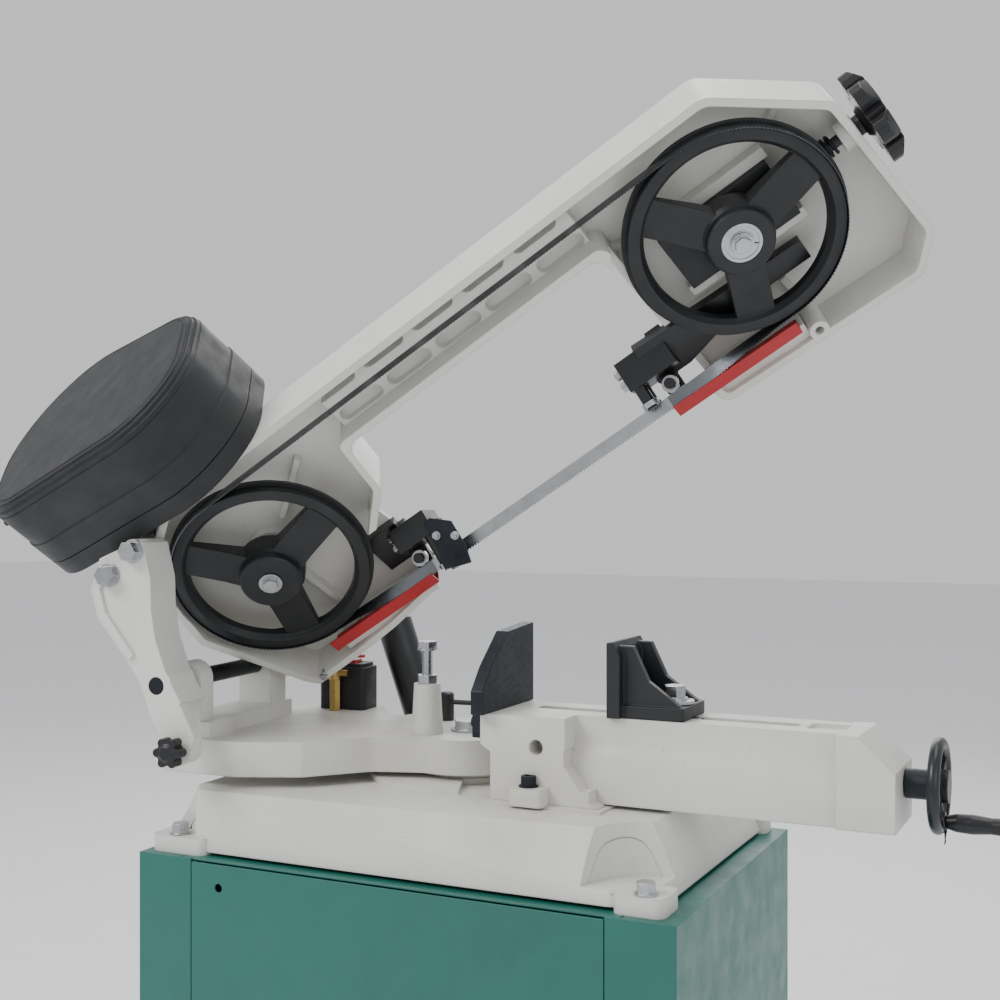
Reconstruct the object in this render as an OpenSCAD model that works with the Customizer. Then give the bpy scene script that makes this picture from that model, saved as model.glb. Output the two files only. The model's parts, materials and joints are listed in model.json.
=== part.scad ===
// Horizontal metal-cutting band saw with a swivelling head, on a sheet-metal stand.
// The origin is on the floor under the middle of the stand. X runs along the vise
// towards the handwheel, Y points away from the operator and Z is up.
// The bow is drawn part raised, with the head turned a few degrees from square.

/* [Stand] */
// Width of the sheet-metal stand
stand_w = 510; // [490:5:540]
// Depth of the stand
stand_d = 339; // [330:1:350]
// Height of the stand up to the underside of the base casting
stand_h = 560; // [450:10:700]
// Thickness of the stand's sheet metal
sheet_t = 2; // [1.5:0.25:3]
// Spacing of the floor anchor holes along X
anchor_x = 450; // [440:5:460]
// Spacing of the floor anchor holes along Y
anchor_y = 270; // [250:5:280]
// Radius of a floor anchor hole
anchor_r = 5.5; // [4:0.5:7]

/* [Base] */
// Height of the base casting
base_h = 58; // [50:1:65]
// Height of the vise table above the top of the base casting
table_rise = 76; // [74:1:80]
// Radius of the swivel pin
swivel_pin_r = 10; // [8:1:12]

/* [Vise] */
// Radius of the vise screw
screw_r = 8; // [7:0.5:9]
// Outer radius of the handwheel
handwheel_r = 38; // [34:1:42]
// Height of the moving jaw above the table
jaw_h = 65; // [50:1:70]

/* [Head and bow] */
// Angle that the head is turned from square
rest_swivel = 5.4; // [0:0.1:10]
// Angle that the bow is raised from the cutting position
rest_raise = 33.15; // [20:0.05:40]
// Lean of the blade wheels away from the vertical plane of the cut
wheel_tilt = 42; // [40:1:44]
// Distance between the two wheel centres
wheel_span = 530; // [520:1:540]
// Thickness of the bow casting's walls
wall_t = 7; // [5:0.5:8]
// Depth of the bow casting's walls in front of its back plate
bow_depth = 50; // [46:1:52]

/* [Wheels and blade] */
// Radius of the wheel rim that the blade runs on
tread_r = 93; // [90:1:94]
// Radius of the flange behind the blade
flange_r = 97; // [95:1:98]
// Width of the tread in front of the flange
tread_w = 10; // [9:0.5:12]
// Blade width
blade_w = 12.7; // [12:0.1:13]
// Blade thickness
blade_t = 0.65; // [0.6:0.05:0.9]
// Radius of the bores of the idler wheel's bearings
idler_axle_r = 7.5; // [6:0.5:8]

/* [Belt drive] */
// Thickness of the belt cover with its tray
cover_h = 94; // [90:1:100]
// Pitch radius of the gearbox pulley
gear_pulley_r = 50; // [46:1:50]
// Pitch radius of the motor pulley
motor_pulley_r = 22; // [18:1:24]
// Radius of the motor body
motor_r = 52; // [46:1:52]
// Length of the motor body
motor_len = 150; // [130:5:160]

/* [Hidden] */

$fn = 48;
fine = 96;

cream = [0.88, 0.87, 0.87];
satin_black = [0.15, 0.16, 0.18];
dark_iron = [0.25, 0.27, 0.30];
bright_steel = [0.74, 0.76, 0.78];
machined = [0.50, 0.53, 0.53];
stand_green = [0.24, 0.54, 0.49];
guard_red = [0.80, 0.22, 0.24];
brass = [0.80, 0.63, 0.30];

// The table frame has its origin on the vise table and is level with it.
table_x = 52;
table_y = 18.5;
table_z = stand_h + base_h + table_rise;
base_top = -table_rise;
base_bottom = -table_rise - base_h;

// The swivel axis, in the table frame, and the heights of the arm that turns on it.
swivel_x = -65;
swivel_y = -6;
arm_top = -34;
arm_bottom = -66;
track_top = -71;
slide_gap = 0.2;

// The bow's hinge axis, in the head frame.
hinge_x = -231;
hinge_z = 19;
hinge_r = 8;

// The lower wheel centre, from the hinge axis, with the bow lowered.
wheel_x = 101.2;
wheel_y = -60;
wheel_z = 56.7;

// Heights in the wheel frame, along the wheel axis towards the operator.
plate_back = -40;
plate_front = plate_back + wall_t;
rim_front = plate_back + bow_depth;
hub_front = 26;
rim_inner_r = 82;
hub_r = 29;

// The blade between the guides, in the lowered bow frame.
cut_y = 1;
cut_z = -21.6;
run_r = tread_r + 0.3 + blade_t / 2;
blade_n = 0.3 + blade_w / 2;

// The belt drive, in the wheel frame: places of its shafts and of the cover.
worm_u = 38;
worm_n = -58;
motor_u = -102;
motor_n = -97;
cover_v = 118;
tray_h = 18;
belt_v = 150;

// The axis of the tension screw, in the wheel frame.
tension_v = 5;
tension_n = -15;

// The feed damper's pivots: lower one in the head frame, upper one in the lowered bow frame.
damper_x = -95;
damper_z = -50;
damper_y = 118;
ear_x = 125;
ear_z = 62;
damper_body = 118;

// ---------------------------------------------------------------- frames

module at_table() {
    translate([table_x, table_y, table_z]) children();
}

module at_head() {
    at_table() translate([swivel_x, swivel_y, 0]) rotate([0, 0, rest_swivel]) children();
}

// Level frame on the hinge axis, in front of which the bracket is drawn.
module at_hinge() {
    at_head() translate([hinge_x, 0, hinge_z]) children();
}

// Frame of the bow as it lies when lowered, turned up to the drawn position.
module at_bow() {
    at_hinge() rotate([0, -rest_raise, 0]) children();
}

// Wheel frame: X along the bow, Y up the wheel's face and Z out of the wheel's face.
module at_wheels() {
    at_bow() translate([wheel_x, wheel_y, wheel_z]) rotate([90 + wheel_tilt, 0, 0]) children();
}

module at_idler() {
    at_wheels() translate([wheel_span, 0, 0]) children();
}

// Along the worm and motor shafts: Z points along the wheel frame's Y.
module at_belt_shaft(u, n) {
    at_wheels() translate([u, 0, n]) rotate([-90, 0, 0]) children();
}

// ---------------------------------------------------------------- outlines

function unit(a) = a / norm(a);
function wrap(a) = a > 180 ? a - 360 : a < -180 ? a + 360 : a;

// Arc of radius r that replaces the corner b between a and c.
function corner_arc(a, b, c, r, steps) =
    let (
        u = unit(a - b),
        v = unit(c - b),
        half = acos(u * v) / 2,
        centre = b + unit(u + v) * r / sin(half),
        first = b + u * r / tan(half) - centre,
        last = b + v * r / tan(half) - centre,
        start = atan2(first[1], first[0]),
        turn = wrap(atan2(last[1], last[0]) - start)
    )
    [for (i = [0:steps]) centre + r * [cos(start + turn * i / steps), sin(start + turn * i / steps)]];

// Outline with round corners; each point is x, y and the radius of its corner.
function rounded(points, less = 0, steps = 5) =
    let (n = len(points))
    [for (i = [0:n - 1]) each corner_arc(
        [points[(i + n - 1) % n][0], points[(i + n - 1) % n][1]],
        [points[i][0], points[i][1]],
        [points[(i + 1) % n][0], points[(i + 1) % n][1]],
        max(points[i][2] - less, 0.6), steps)];

// The outline moved inwards by d, each corner keeping its radius; points run anticlockwise.
function inset(points, d) =
    let (n = len(points))
    [for (i = [0:n - 1])
        let (
            p = [points[i][0], points[i][1]],
            before = unit(p - [points[(i + n - 1) % n][0], points[(i + n - 1) % n][1]]),
            after = unit([points[(i + 1) % n][0], points[(i + 1) % n][1]] - p),
            in_a = [-before[1], before[0]],
            in_b = [-after[1], after[0]],
            q = p + d * (in_a + in_b) / (1 + in_a * in_b)
        )
        [q[0], q[1], points[i][2]]];

function box_outline(x0, y0, x1, y1, r) = [[x0, y0, r], [x1, y0, r], [x1, y1, r], [x0, y1, r]];

module plate(points, height, steps = 5) {
    linear_extrude(height) polygon(rounded(points, 0, steps));
}

module box(low, high) {
    translate(low) cube(high - low);
}

// Cylinder along Y from y0 to y1.
module rod_y(y0, y1, r, facets = 48) {
    translate([0, y0, 0]) rotate([-90, 0, 0]) cylinder(r = r, h = y1 - y0, $fn = facets);
}

// Cylinder along X from x0 to x1.
module rod_x(x0, x1, r, facets = 48) {
    translate([x0, 0, 0]) rotate([0, 90, 0]) cylinder(r = r, h = x1 - x0, $fn = facets);
}

// Hexagon-head screw on z = 0: washer and head above, shank below.
module hex_screw(across, shank_r, shank_len) {
    washer_h = across * 0.12;
    cylinder(r = across * 0.68, h = washer_h);
    translate([0, 0, washer_h]) cylinder(d = across / cos(30), h = across * 0.6, $fn = 6);
    translate([0, 0, -shank_len]) cylinder(r = shank_r, h = shank_len + 1);
}

// Ring sector between two radii and two angles.
module ring_sector(r0, r1, a0, a1, height) {
    steps = 24;
    outer = [for (i = [0:steps]) r1 * [cos(a0 + (a1 - a0) * i / steps), sin(a0 + (a1 - a0) * i / steps)]];
    inner = [for (i = [steps:-1:0]) r0 * [cos(a0 + (a1 - a0) * i / steps), sin(a0 + (a1 - a0) * i / steps)]];
    linear_extrude(height) polygon(concat(outer, inner));
}

// Knob with round lobes; the shaft leaves along -Z.
module lobed_knob(r, height, lobes, shaft_r) {
    linear_extrude(height) {
        circle(r = r * 0.72);
        for (i = [0:lobes - 1])
            rotate(360 * i / lobes) translate([r * 0.72, 0]) circle(r = r * 0.28, $fn = 24);
    }
    translate([0, 0, height]) cylinder(r1 = r * 0.6, r2 = r * 0.4, h = height * 0.2);
    translate([0, 0, -height * 0.4]) cylinder(r = shaft_r * 1.5, h = height * 0.4);
}

// ---------------------------------------------------------------- stand

corner_fold = 58;
flange_w = 45;

module stand_side() {
    x = stand_w / 2;
    y = stand_d / 2;
    difference() {
        union() {
            box([x - sheet_t, -y, 0], [x, y, stand_h]);
            box([x - corner_fold, -y, 0], [x, -y + sheet_t, stand_h]);
            box([x - corner_fold, y - sheet_t, 0], [x, y, stand_h]);
            box([x - flange_w, -y, 0], [x, y, sheet_t]);
            box([x - flange_w, -y, stand_h - sheet_t], [x, y, stand_h]);
        }
        for (side = [-1, 1]) {
            translate([anchor_x / 2, side * anchor_y / 2, -1]) cylinder(r = anchor_r, h = sheet_t + 2);
            translate([base_bolt_x, side * base_bolt_y, stand_h - sheet_t - 1])
                cylinder(r = base_bolt_r, h = sheet_t + 2);
        }
    }
}

// Base bolts, from the middle of the stand.
base_bolt_x = 224;
base_bolt_y = 149.5;
base_bolt_r = 5;

module stand_right_panel() {
    color(stand_green) stand_side();
}

module stand_left_panel() {
    color(stand_green) mirror([1, 0, 0]) stand_side();
}

seam = 0.6;

// Flat panel between the folded corners, with a stiffening lip behind each side edge.
module flat_panel(hole) {
    half = stand_w / 2 - corner_fold - seam;
    lip = 18;
    difference() {
        union() {
            box([-half, 0, 0.5], [half, sheet_t, stand_h - sheet_t - 0.5]);
            for (side = [-1, 1])
                translate([side * half, 0, 0])
                    box([min(0, -side * sheet_t), sheet_t, 0.5],
                        [max(0, -side * sheet_t), lip, stand_h - sheet_t - 0.5]);
        }
        if (hole)
            translate([-167, -1, stand_h - 23]) rotate([-90, 0, 0]) cylinder(r = 3.75, h = sheet_t + 2);
    }
}

module stand_front_panel() {
    color(stand_green) translate([0, -stand_d / 2, 0]) flat_panel(true);
}

module stand_back_panel() {
    color(stand_green) translate([0, stand_d / 2, 0]) mirror([0, 1, 0]) flat_panel(false);
}

module stand_top() {
    half_x = stand_w / 2 - flange_w - seam;
    color(stand_green)
        box([-half_x, -stand_d / 2 + sheet_t + 0.5, stand_h - sheet_t],
            [half_x, stand_d / 2 - sheet_t - 0.5, stand_h]);
}

// ---------------------------------------------------------------- base

foot_h = 15;
top_outline = [[-266, -172, 16], [125, -150, 16], [160, -118, 16], [163, 136, 18], [-276, 138, 20]];
skirt_outline = [
    [-300, -174, 14], [146, -174, 16], [182, -136, 16], [184, 144, 18], [-303, 144, 18]];

// Solid between a bottom outline and a smaller top outline.
module drafted(bottom_points, top_points, z0, z1) {
    hull() {
        translate([0, 0, z0]) linear_extrude(0.5) polygon(rounded(bottom_points, 0, 4));
        translate([0, 0, z1 - 0.5]) linear_extrude(0.5) polygon(rounded(top_points, 0, 4));
    }
}

module base_casting() {
    shell = 9;
    foot_x0 = -base_bolt_x - table_x;
    foot_x1 = base_bolt_x - table_x;
    foot_y0 = -base_bolt_y - table_y;
    foot_y1 = base_bolt_y - table_y - 5;
    color(cream) at_table() difference() {
        union() {
            difference() {
                drafted(skirt_outline, top_outline, base_bottom + 3, base_top);
                drafted(inset(skirt_outline, shell), inset(top_outline, shell),
                    base_bottom - 1, base_top - shell);
                translate([foot_x1 + 8, foot_y0 - 6, base_bottom + foot_h])
                    cylinder(r = 62, h = base_h, $fn = fine);
                translate([foot_x0 - 4, foot_y0 - 6, base_bottom + foot_h]) cylinder(r = 24, h = base_h);
                translate([foot_x0 - 4, foot_y1 + 8, base_bottom + foot_h]) cylinder(r = 24, h = base_h);
                translate([foot_x1 + 8, foot_y1 + 8, base_bottom + foot_h]) cylinder(r = 24, h = base_h);
            }
            // pocket walls and flanges around the holding-down bolts
            for (x = [foot_x0, foot_x1], y = [foot_y0, base_bolt_y - table_y])
                translate([0, 0, base_bottom])
                    plate(box_outline(x - 25, y - 12, x + (x > 0 ? 18 : 34), y + (y > 0 ? 14 : 30), 9),
                        foot_h);
            translate([swivel_x, swivel_y, base_bottom + 12]) cylinder(r = 26, h = base_h - 12);
            translate([swivel_x, swivel_y, base_top - 1])
                ring_sector(48, 91.5, 150, 292, track_top - base_top + 1);
            translate([swivel_x, swivel_y, base_top - 1]) cylinder(r = 44, h = track_top - base_top + 1);
            box([0, -110, base_top - 1], [111, -12, base_top + 2]);
        }
        translate([swivel_x, swivel_y, base_bottom]) cylinder(r = swivel_pin_r, h = base_h + 20);
        for (x = [foot_x0, foot_x1], y = [foot_y0, base_bolt_y - table_y])
            translate([x, y, base_bottom - 1]) cylinder(r = base_bolt_r, h = foot_h + 2);
        translate([44, -106, base_top - 20]) cylinder(r = 4, h = 40);
    }
}

module base_bolts() {
    color(bright_steel)
        for (x = [-1, 1], y = [-1, 1])
            translate([x * base_bolt_x, y * base_bolt_y, stand_h + foot_h])
                hex_screw(14, base_bolt_r, foot_h + sheet_t + 8);
}

module swivel_pin() {
    color(bright_steel) at_table() translate([swivel_x, swivel_y, 0]) {
        translate([0, 0, base_bottom + 12]) cylinder(r = swivel_pin_r - 0.05, h = arm_top - base_bottom - 8);
        translate([0, 0, base_bottom + 4]) cylinder(d = 34, h = 8, $fn = 6);
        translate([0, 0, arm_top + 0.2]) cylinder(r = 16, h = 2);
        translate([0, 0, arm_top + 2.2]) cylinder(d = 28, h = 8, $fn = 6);
    }
}

// ---------------------------------------------------------------- vise

beam_front = -78;
beam_rear = -14;
beam_bottom = -72.5;
beam_end = 301;
screw_y = -46;
screw_z = -40;
fixed_face_x = 5;
jaw_face_x = 106;
slot_w = 14;
jaw_screws = [-90, -38];

module vise_body() {
    color(cream) at_table() difference() {
        union() {
            // beam with the flared lower half
            rotate([90, 0, 90]) linear_extrude(beam_end)
                polygon([[beam_rear, beam_bottom], [beam_rear, 0], [beam_front, 0], [beam_front, -20],
                    [beam_front - 7, -37], [beam_front - 7, beam_bottom]]);
            // end block
            rotate([90, 0, 0]) translate([0, 0, -beam_rear]) linear_extrude(beam_rear - beam_front + 12)
                polygon([[300, -72.5], [346, -72.5], [346, -26], [318, 1], [300, 1]]);
            // left block that carries the fixed jaw
            rotate([90, 0, 0]) translate([0, 0, 60]) linear_extrude(42)
                polygon([[5.6, base_top + 2], [106, base_top + 2], [96, -68], [75, -40], [75, 0],
                    [-4, 0], [-4, -27], [5.6, -33]]);
            box([5.6, -102, base_top + 2], [98, beam_rear, -60]);
            box([-4, -102, -27], [76, beam_rear, 0]);
            // front foot and its rib
            translate([0, 0, base_top + 2]) plate(box_outline(30, -119, 61, -93, 5), 15);
        }
        // screw tunnel, nut channel and slot in the top
        translate([0, screw_y, screw_z]) rod_x(24, 350, screw_r + 0.4);
        box([20, screw_y - 17, -62], [325, screw_y + 17, -18]);
        box([28, screw_y - slot_w / 2, -20], [262, screw_y + slot_w / 2, 5]);
        translate([0, 0, -3]) plate(box_outline(270, -60, 302, -30, 6), 10);
        // cross hole, bolt hole and holes of the jaw screws
        translate([49, 0, -26]) rod_y(-110, -80, 6.5);
        translate([44, -106, -100]) cylinder(r = 4, h = 60);
        for (y = jaw_screws) translate([0, y, -10]) rod_x(-10, 20, 3);
    }
}

module vise_bolts() {
    color(dark_iron) at_table() {
        translate([44, -106, base_top + 17]) {
            difference() {
                translate([0, 0, 1.5]) cylinder(r = 6.5, h = 8);
                translate([0, 0, 4.5]) cylinder(d = 7, h = 8, $fn = 6);
            }
            cylinder(r = 8.5, h = 1.5);
            translate([0, 0, -32]) cylinder(r = 4, h = 33);
        }
        for (y = jaw_screws) translate([0, y, -10]) {
            difference() {
                rod_x(-17, -12, 5);
                rod_x(-18, -14.5, 2.6, 6);
            }
            rod_x(-13, 14, 3);
        }
    }
}

module fixed_jaw() {
    color(dark_iron) at_table() difference() {
        union() {
            translate([fixed_face_x - 12, 0, 0]) rotate([90, 0, 90]) linear_extrude(12)
                polygon([[-9, 0], [-9, 72], [-64, 68], [-98, 40], [-115, 20], [-115, 0]]);
            box([-12, -102, -22], [-4, -14, 8]);
        }
        for (y = jaw_screws) translate([0, y, -10]) rod_x(-20, 0, 3);
    }
}

module moving_jaw() {
    color(dark_iron) at_table() difference() {
        union() {
            rotate([90, 0, 0]) translate([0, 0, 14]) linear_extrude(70)
                polygon([[jaw_face_x, 0.2], [118, 0.2], [118, jaw_h - 12], [112, jaw_h],
                    [jaw_face_x, jaw_h - 1]]);
            translate([0, 0, 0.2]) plate(box_outline(jaw_face_x, -77, 172, -15, 4), 11);
            for (y = [-74, -28])
                translate([0, y, 0]) rotate([90, 0, 0]) translate([0, 0, -8]) linear_extrude(8)
                    polygon([[112, 0.4], [168, 0.4], [168, 12], [140, 32], [126, jaw_h - 4],
                        [112, jaw_h - 4]]);
        }
        translate([154, screw_y, -5]) cylinder(r = 5.05, h = 40);
    }
}

module jaw_nut() {
    color(machined) at_table() difference() {
        union() {
            box([124, screw_y - 15, -58], [184, screw_y + 15, -21]);
            box([130, screw_y - slot_w / 2 + 0.3, -21], [178, screw_y + slot_w / 2 - 0.3, 0]);
        }
        translate([0, screw_y, screw_z]) rod_x(100, 200, screw_r + 0.05);
        translate([154, screw_y, -22]) cylinder(r = 5, h = 40);
    }
}

module jaw_bolt() {
    color(bright_steel) at_table() translate([154, screw_y, 11.4]) {
        cylinder(r = 17, h = 3);
        translate([0, 0, 3]) hex_screw(17, 5, 33);
    }
}

module vise_screw() {
    color(bright_steel) at_table() translate([0, screw_y, screw_z]) {
        rod_x(24.5, 346.4, screw_r);
        rod_x(346.4, 366, 12);
    }
}

module handwheel() {
    rim_r = 5;
    color(satin_black) at_table() translate([372, screw_y, screw_z]) rotate([0, 90, 0]) {
        rotate_extrude($fn = fine) translate([handwheel_r - rim_r, 0]) circle(r = rim_r, $fn = 24);
        translate([0, 0, -6]) cylinder(r = 13, h = 14);
        for (a = [0:120:240])
            rotate(a) translate([6, -5, -2.5]) cube([handwheel_r - rim_r - 6, 10, 5]);
        translate([28, 0, -4]) cylinder(r = 8, h = 9);
    }
}

module crank_handle() {
    color(satin_black) at_table() translate([377.3, screw_y, screw_z - 28]) rotate([0, 90, 0])
        rotate_extrude($fn = fine)
            polygon([[0, 0], [5, 0], [7.2, 8], [7.8, 20], [6.4, 34], [7, 44], [5.6, 50], [0, 51]]);
}

// ---------------------------------------------------------------- head

lug_r = 17;
rear_lug_r = 18;
boss_x = -30;
boss_y = -27.5;
valve_x = -176;
valve_y = 68;
lock_x = -42;
lock_y = 50;

arm_outline = [
    [-254, -126, 8], [-176, -132, 14], [-117, -112, 12], [-70, -66, 16], [-30, -56, 20],
    [20, -50, 4], [20, 50, 4], [-60, 54, 12], [-112, 66, 10], [-142, 112, 6], [-200, 112, 8], [-254, 60, 8]
];

module swivel_arm() {
    color(cream) at_head() difference() {
        union() {
            translate([0, 0, arm_bottom]) plate(arm_outline, arm_top - arm_bottom);
            translate([0, 0, arm_bottom]) cylinder(r = 58, h = arm_top - arm_bottom, $fn = fine);
            translate([0, 0, track_top + slide_gap]) cylinder(r = 43, h = 8, $fn = fine);
            translate([0, 0, track_top + slide_gap]) ring_sector(51, 91, 150, 192.6, 8);
            // raised block under the hinge
            box([-254, -126, arm_bottom], [-204, -84, -19]);
            box([-254, -85, arm_bottom], [-208, 34, -19]);
            // lugs and their webs
            translate([hinge_x, 0, hinge_z]) {
                rod_y(-126, -105, lug_r);
                rod_y(0, 30, rear_lug_r);
                box([-lug_r, -126, -40], [lug_r, -105, 0]);
                box([-rear_lug_r, 0, -40], [rear_lug_r, 30, 0]);
            }
            // boss of the stop bolt
            translate([boss_x, boss_y, arm_top - 1]) cylinder(r1 = 15, r2 = 12.5, h = 48);
            // pivot of the damper
            translate([damper_x, 0, damper_z]) rod_y(40, 86, 14);
        }
        // hollow underside
        translate([0, 0, arm_bottom - 1]) plate(inset([
            [-248, -120, 6], [-178, -124, 10], [-120, -104, 8], [-76, -60, 8], [-62, -40, 8],
            [-62, 40, 8], [-112, 44, 8], [-160, 30, 8], [-248, 30, 6]], 4), 22);
        translate([0, 0, -100]) cylinder(r = swivel_pin_r, h = 80);
        translate([boss_x, boss_y, arm_bottom + 10]) cylinder(r = 5, h = 80);
        translate([hinge_x, 0, hinge_z]) rod_y(-140, 60, hinge_r);
        translate([damper_x, 0, damper_z]) rod_y(60, 90, 6);
    }
}

module stop_bolt() {
    color(bright_steel) at_head() translate([boss_x, boss_y, 13]) {
        translate([0, 0, -40]) cylinder(r = 5, h = 73);
        cylinder(d = 19.6, h = 8, $fn = 6);
        translate([0, 0, 32.5]) cylinder(d = 19.6, h = 7, $fn = 6);
        translate([0, 0, 31]) cylinder(r = 9.5, h = 2);
    }
}

module pivot_shaft() {
    color(dark_iron) at_hinge() rod_y(-172, 64, hinge_r - 0.05);
    color(dark_iron) at_head() translate([damper_x, 0, damper_z]) rod_y(70, 134, 5.95);
}

module swivel_lock_lever() {
    color(satin_black) at_head() translate([lock_x, lock_y, arm_top + 0.3]) {
        cylinder(r = 7, h = 26);
        translate([0, 0, 26]) cylinder(r1 = 7, r2 = 5, h = 2);
        translate([0, 0, 18]) rod_x(4, 40, 2.5);
        translate([42, 0, 18]) sphere(r = 5.5);
    }
}

module switch_box() {
    color(satin_black) at_head() difference() {
        union() {
            translate([0, 0, arm_top]) plate(box_outline(-198, 75, -146, 110, 5), 44);
            translate([0, 0, arm_top + 44]) plate(box_outline(-195, 78, -149, 107, 4), 4);
        }
        box([-186, 81, 6], [-158, 101, 20]);
        box([-192, 79, -28], [-152, 104, 6.5]);
    }
}

module switch_rocker() {
    color(guard_red) at_head() translate([-172, 91, 12]) rotate([90, 0, 0]) translate([0, 0, -8.5])
        linear_extrude(17) polygon([[-12, 0], [-12, 5.5], [0, 3.4], [12, 5.5], [12, 0], [4, -5], [-4, -5]]);
}

valve_low = -2;
valve_top = 12;

module feed_valve() {
    color(brass) at_head() translate([valve_x, valve_y, 0]) {
        translate([0, 0, arm_top]) cylinder(d = 12, h = valve_low - arm_top, $fn = 6);
        translate([0, 0, valve_low]) cylinder(r = 6.2, h = valve_top - valve_low);
        translate([0, 0, valve_top]) cylinder(r = 3, h = 16);
        translate([0, 0, 5]) rod_x(5, 15, 3.5);
    }
}

module feed_lever() {
    color(guard_red) at_head() translate([valve_x, valve_y, valve_top + 8.3]) difference() {
        union() {
            cylinder(r = 5.5, h = 9);
            box([0, -3.5, 2], [30, 3.5, 5]);
            translate([30, 0, 2]) cylinder(r = 4.5, h = 3);
        }
        translate([0, 0, -1]) cylinder(r = 3.05, h = 9);
    }
}

// Direction of the damper at rest: from its lower pivot to the bow's ear.
ear_rest_x = hinge_x + ear_x * cos(rest_raise) - ear_z * sin(rest_raise);
ear_rest_z = hinge_z + ear_x * sin(rest_raise) + ear_z * cos(rest_raise);
damper_lean = atan2(ear_rest_x - damper_x, ear_rest_z - damper_z);
damper_len = norm([ear_rest_x - damper_x, ear_rest_z - damper_z]);

module at_damper() {
    at_head() translate([damper_x, damper_y, damper_z]) rotate([0, damper_lean, 0]) children();
}

module damper_cylinder() {
    color(satin_black) at_damper() difference() {
        union() {
            rod_y(-10, 10, 12);
            translate([0, 0, 8]) cylinder(r = 14, h = 8);
            translate([0, 0, 14]) cylinder(r = 19, h = damper_body - 20, $fn = fine);
            translate([0, 0, damper_body - 8]) cylinder(r1 = 19, r2 = 14, h = 8, $fn = fine);
        }
        rod_y(-20, 20, 6);
        translate([0, 0, 16]) cylinder(r = 5.05, h = damper_body, $fn = fine);
    }
}

module damper_rod() {
    rod_len = 117;
    eye_r = 13;
    color(bright_steel) at_damper() translate([0, 0, damper_len]) difference() {
        union() {
            translate([0, 0, -rod_len]) cylinder(r = 5, h = rod_len - 11.5, $fn = fine);
            rod_y(-6, 6, eye_r);
        }
        rod_y(-10, 10, 9.5);
    }
}

// ---------------------------------------------------------------- bow casting

bow_outline = [
    [-69, -122, 8], [-60, -135, 5], [-2, -133, 20], [44, -129, 20], [112, -118, 8], [103, -32, 3],
    [140, 3, 14], [147, 58, 12], [431, 60, 16], [433, -131, 10], [636, -136, 14], [664, -104, 14],
    [652, 47, 16], [571, 118, 22], [-22, 118, 14], [-75, 84, 14], [-99, 43, 14], [-112, -19, 16]
];
wheel_clear = 100;
pocket_pitch = 56;
guide_hole_u = 538;
guard_v = -111;

// Oblong pocket, as a plan shape.
module slot_shape(length, width) {
    square([length - width, width], center = true);
    for (side = [-1, 1]) translate([side * (length - width) / 2, 0]) circle(d = width, $fn = 32);
}

module bow_frame() {
    color(cream) difference() {
        union() {
            at_wheels() {
                translate([0, 0, plate_back]) plate(bow_outline, wall_t);
                translate([0, 0, plate_back]) linear_extrude(bow_depth) difference() {
                    polygon(rounded(bow_outline));
                    polygon(rounded(inset(bow_outline, wall_t), 4));
                }
                // stepped floor of the spine, with its pockets
                difference() {
                    box([150, 60, plate_front - 1], [428, 117, -14]);
                    for (i = [0:4]) {
                        translate([178 + i * pocket_pitch, 74, -22]) linear_extrude(20) slot_shape(48, 13);
                        translate([170 + i * pocket_pitch, 103, -30]) linear_extrude(30) slot_shape(46, 14);
                    }
                }
                // ribs behind the wheels
                for (a = [35, 155, 275]) {
                    rotate(a) box([40, -3, plate_front - 1], [108, 3, -24]);
                    translate([wheel_span, 0, 0]) rotate(a) box([79, -3, plate_front - 1], [108, 3, -26]);
                }
                // ledges that carry the blade guards
                box([-10, -124, plate_front - 1], [105, guard_v - 0.05, 4]);
                box([436, -126, plate_front - 1], [530, guard_v - 0.05, 4]);
                // bosses of the drive shaft and the tension screw
                translate([0, 0, plate_front - 1]) cylinder(r = 24, h = 12);
                translate([0, tension_v, tension_n]) rod_x(640, 656, 13);
                translate([guide_hole_u, -123, plate_front]) cylinder(r = 9, h = rim_front - plate_front);
                // gibs that guide the tension slide
                for (side = [-1, 1])
                    box([wheel_span - 62, side * 34 - 5, plate_front - 1],
                        [wheel_span + 56, side * 34 + 5, -20]);
                // pad of the upper guide's bar
                box([446, -74, plate_front - 1], [500, -48, -24.2]);
            }
            // hinge ear behind the rear lug, and lugs of the bracket bolts
            at_bow() rod_y(31, 62, 20);
            at_bow() box([-16, 31, 0], [44, 62, 46]);
            at_hinge() {
                translate([-49, 0, 98]) rod_y(-132.8, -96, 10);
                translate([-24, 0, 120]) rod_y(-132.8, -112, 9);
            }
        }
        at_wheels() {
            translate([0, 0, -9]) cylinder(r = wheel_clear, h = 80, $fn = fine);
            translate([wheel_span - 9, 0, -9]) cylinder(r = wheel_clear, h = 80, $fn = fine);
            translate([wheel_span, 0, -9]) cylinder(r = wheel_clear, h = 80, $fn = fine);
            // blade's ways in and out of the two housings
            box([80, guard_v - 0.05, plate_front], [125, -28, 30]);
            box([420, guard_v - 0.05, -27], [446, -40, 30]);
            translate([0, 0, plate_back - 1]) cylinder(r = 12, h = 40);
            translate([0, tension_v, tension_n]) rod_x(600, 700, 6);
            translate([guide_hole_u, -123, plate_back - 1]) cylinder(r = 4, h = 80);
            // bolt hole of the lower guide's foot
            translate([64, -64, plate_back - 1]) cylinder(r = 5, h = 30);
        }
        at_bow() rod_y(-4, 80, hinge_r);
        at_bow() rod_y(-4, 30.8, rear_lug_r + 2.5);
        at_bow() box([-60, -4, -90], [rear_lug_r + 2.5, 30.8, 0]);
        // notch around the lower guide block
        at_bow() box([lower_roller_x - 35, -16, 3], [lower_roller_x + 20, 18, 40]);
        at_hinge() {
            translate([-49, 0, 98]) rod_y(-140, -104, 4);
            translate([-24, 0, 120]) rod_y(-140, -120, 4);
        }
    }
}

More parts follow.
